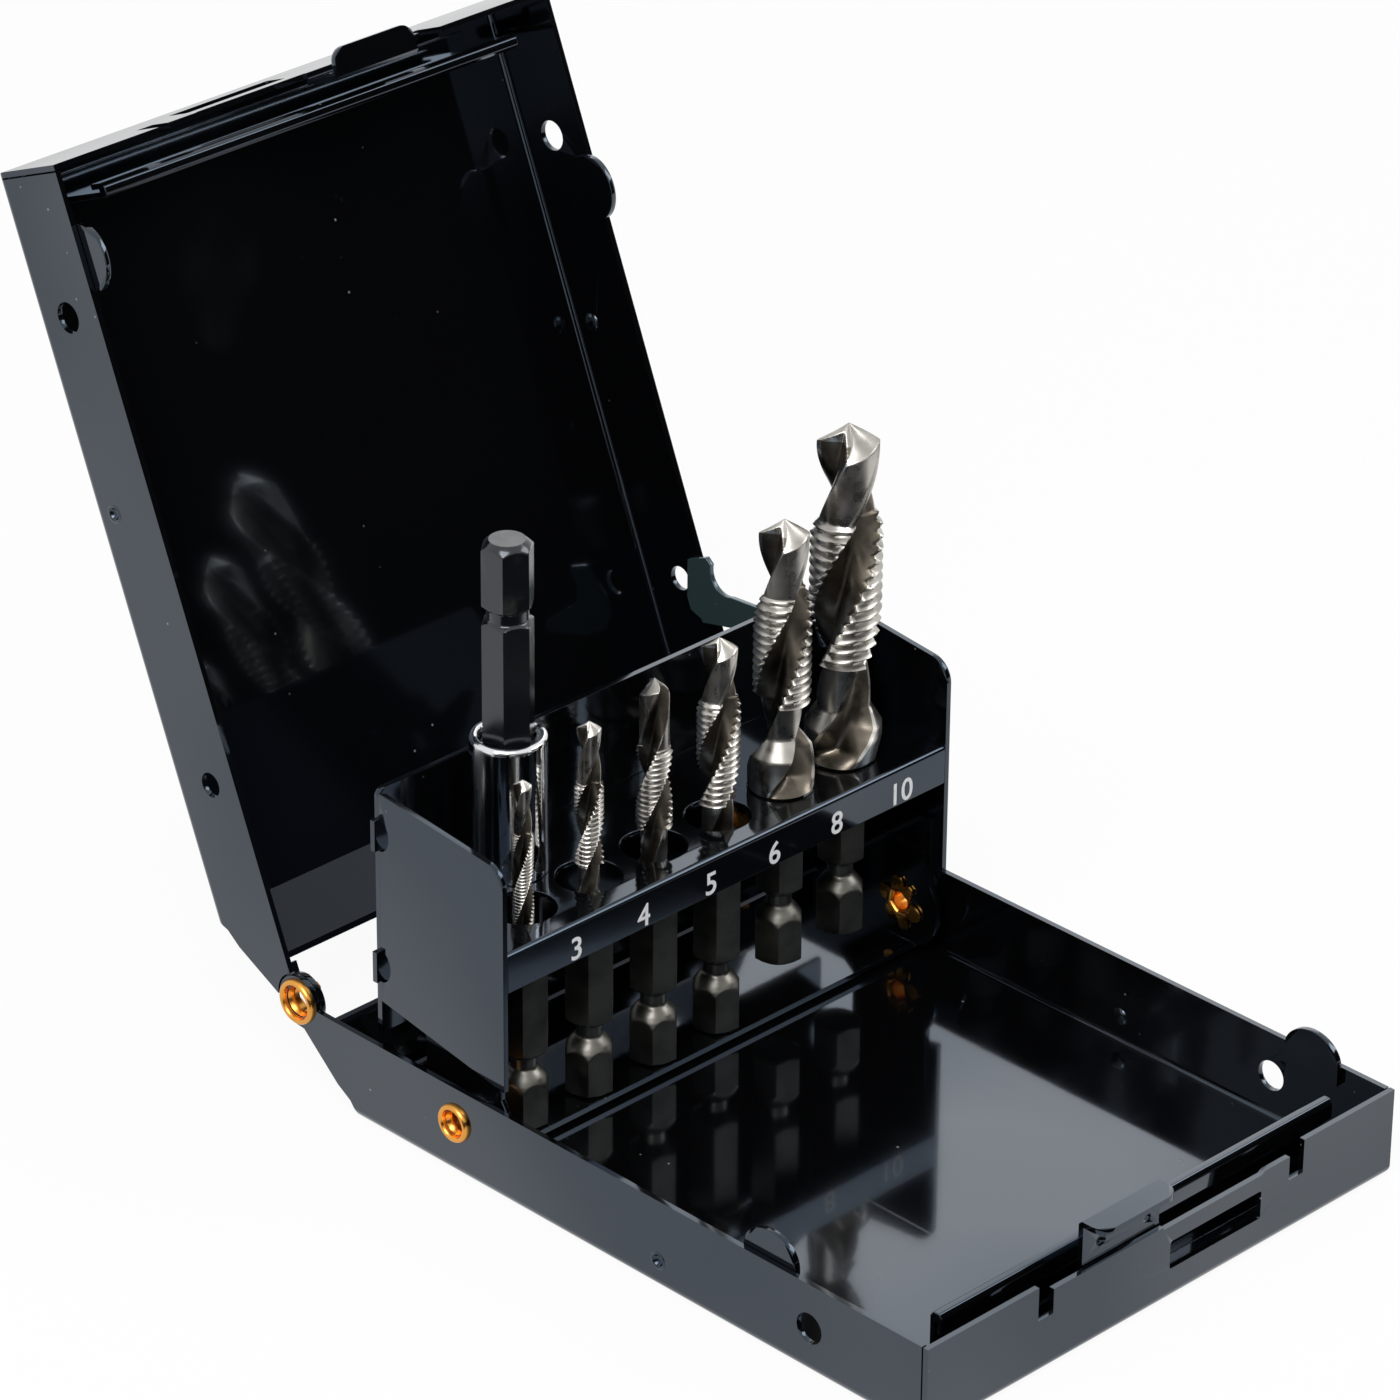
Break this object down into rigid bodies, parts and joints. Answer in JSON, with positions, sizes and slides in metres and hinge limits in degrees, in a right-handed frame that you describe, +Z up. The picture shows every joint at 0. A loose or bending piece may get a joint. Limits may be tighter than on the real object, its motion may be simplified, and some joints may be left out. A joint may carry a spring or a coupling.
{
  "type": "drill bit case",
  "caption": "Folding pressed-steel case, open, with a swing-up rack of hex-shank tap bits and a magnetic bit holder.",
  "frame": {"origin": "middle of the base's flat underside, between its side walls", "axes": "+X along the hinge, +Y from the latch wall towards the hinge, +Z up"},
  "size_m": [0.0904, 0.1764, 0.1259],
  "materials": {
    "enamel": "gloss",
    "brass": "bright",
    "tool_steel": "ground",
    "blackened": "black oxide",
    "chrome": "polished",
    "spring_steel": "bright"
  },
  "bodies": {
    "base": {"base_shell": "enamel", "base_rib": "enamel", "hinge_eyelets": "brass", "pivot_eyelets": "brass", "pivot_washers": "spring_steel"},
    "lid": {"lid_shell": "enamel", "lid_rib": "enamel", "lid_lug": "enamel"},
    "rack": {"rack_back": "enamel", "rack_cheek_left": "enamel", "rack_cheek_right": "enamel", "rack_top_shelf": "enamel", "rack_tray": "enamel"},
    "tap_m3": {"tap_m3": "tool_steel"},
    "tap_m4": {"tap_m4": "tool_steel"},
    "tap_m5": {"tap_m5": "tool_steel"},
    "tap_m6": {"tap_m6": "tool_steel"},
    "tap_m8": {"tap_m8": "tool_steel"},
    "tap_m10": {"tap_m10": "tool_steel"},
    "bit_holder": {"holder_shank": "blackened", "holder_sleeve": "chrome", "holder_magnet": "spring_steel", "holder_ring": "spring_steel"}
  },
  "joints": [
    {"name": "lid_hinge", "type": "hinge", "parent": "base", "child": "lid", "pos_m": [0, 0.0545, 0.0134], "axis": [-1, 0, 0], "range_deg": [-112.5, 0]},
    {"name": "rack_pivot", "type": "hinge", "parent": "base", "child": "rack", "pos_m": [0, 0.0236, 0.008], "axis": [-1, 0, 0], "range_deg": [-90, 0]},
    {"name": "tap_m3_lift", "type": "slide", "parent": "rack", "child": "tap_m3", "axis": [0, 0, 1], "range_m": [0, 0.125]},
    {"name": "tap_m4_lift", "type": "slide", "parent": "rack", "child": "tap_m4", "axis": [0, 0, 1], "range_m": [0, 0.125]},
    {"name": "tap_m5_lift", "type": "slide", "parent": "rack", "child": "tap_m5", "axis": [0, 0, 1], "range_m": [0, 0.125]},
    {"name": "tap_m6_lift", "type": "slide", "parent": "rack", "child": "tap_m6", "axis": [0, 0, 1], "range_m": [0, 0.125]},
    {"name": "tap_m8_lift", "type": "slide", "parent": "rack", "child": "tap_m8", "axis": [0, 0, 1], "range_m": [0, 0.125]},
    {"name": "tap_m10_lift", "type": "slide", "parent": "rack", "child": "tap_m10", "axis": [0, 0, 1], "range_m": [0, 0.125]},
    {"name": "bit_holder_lift", "type": "slide", "parent": "rack", "child": "bit_holder", "axis": [0, 0, 1], "range_m": [0, 0.125]}
  ],
  "couplings": [
    {"joint": "rack_pivot", "follows": "lid_hinge", "ratio": 0.8}
  ]
}
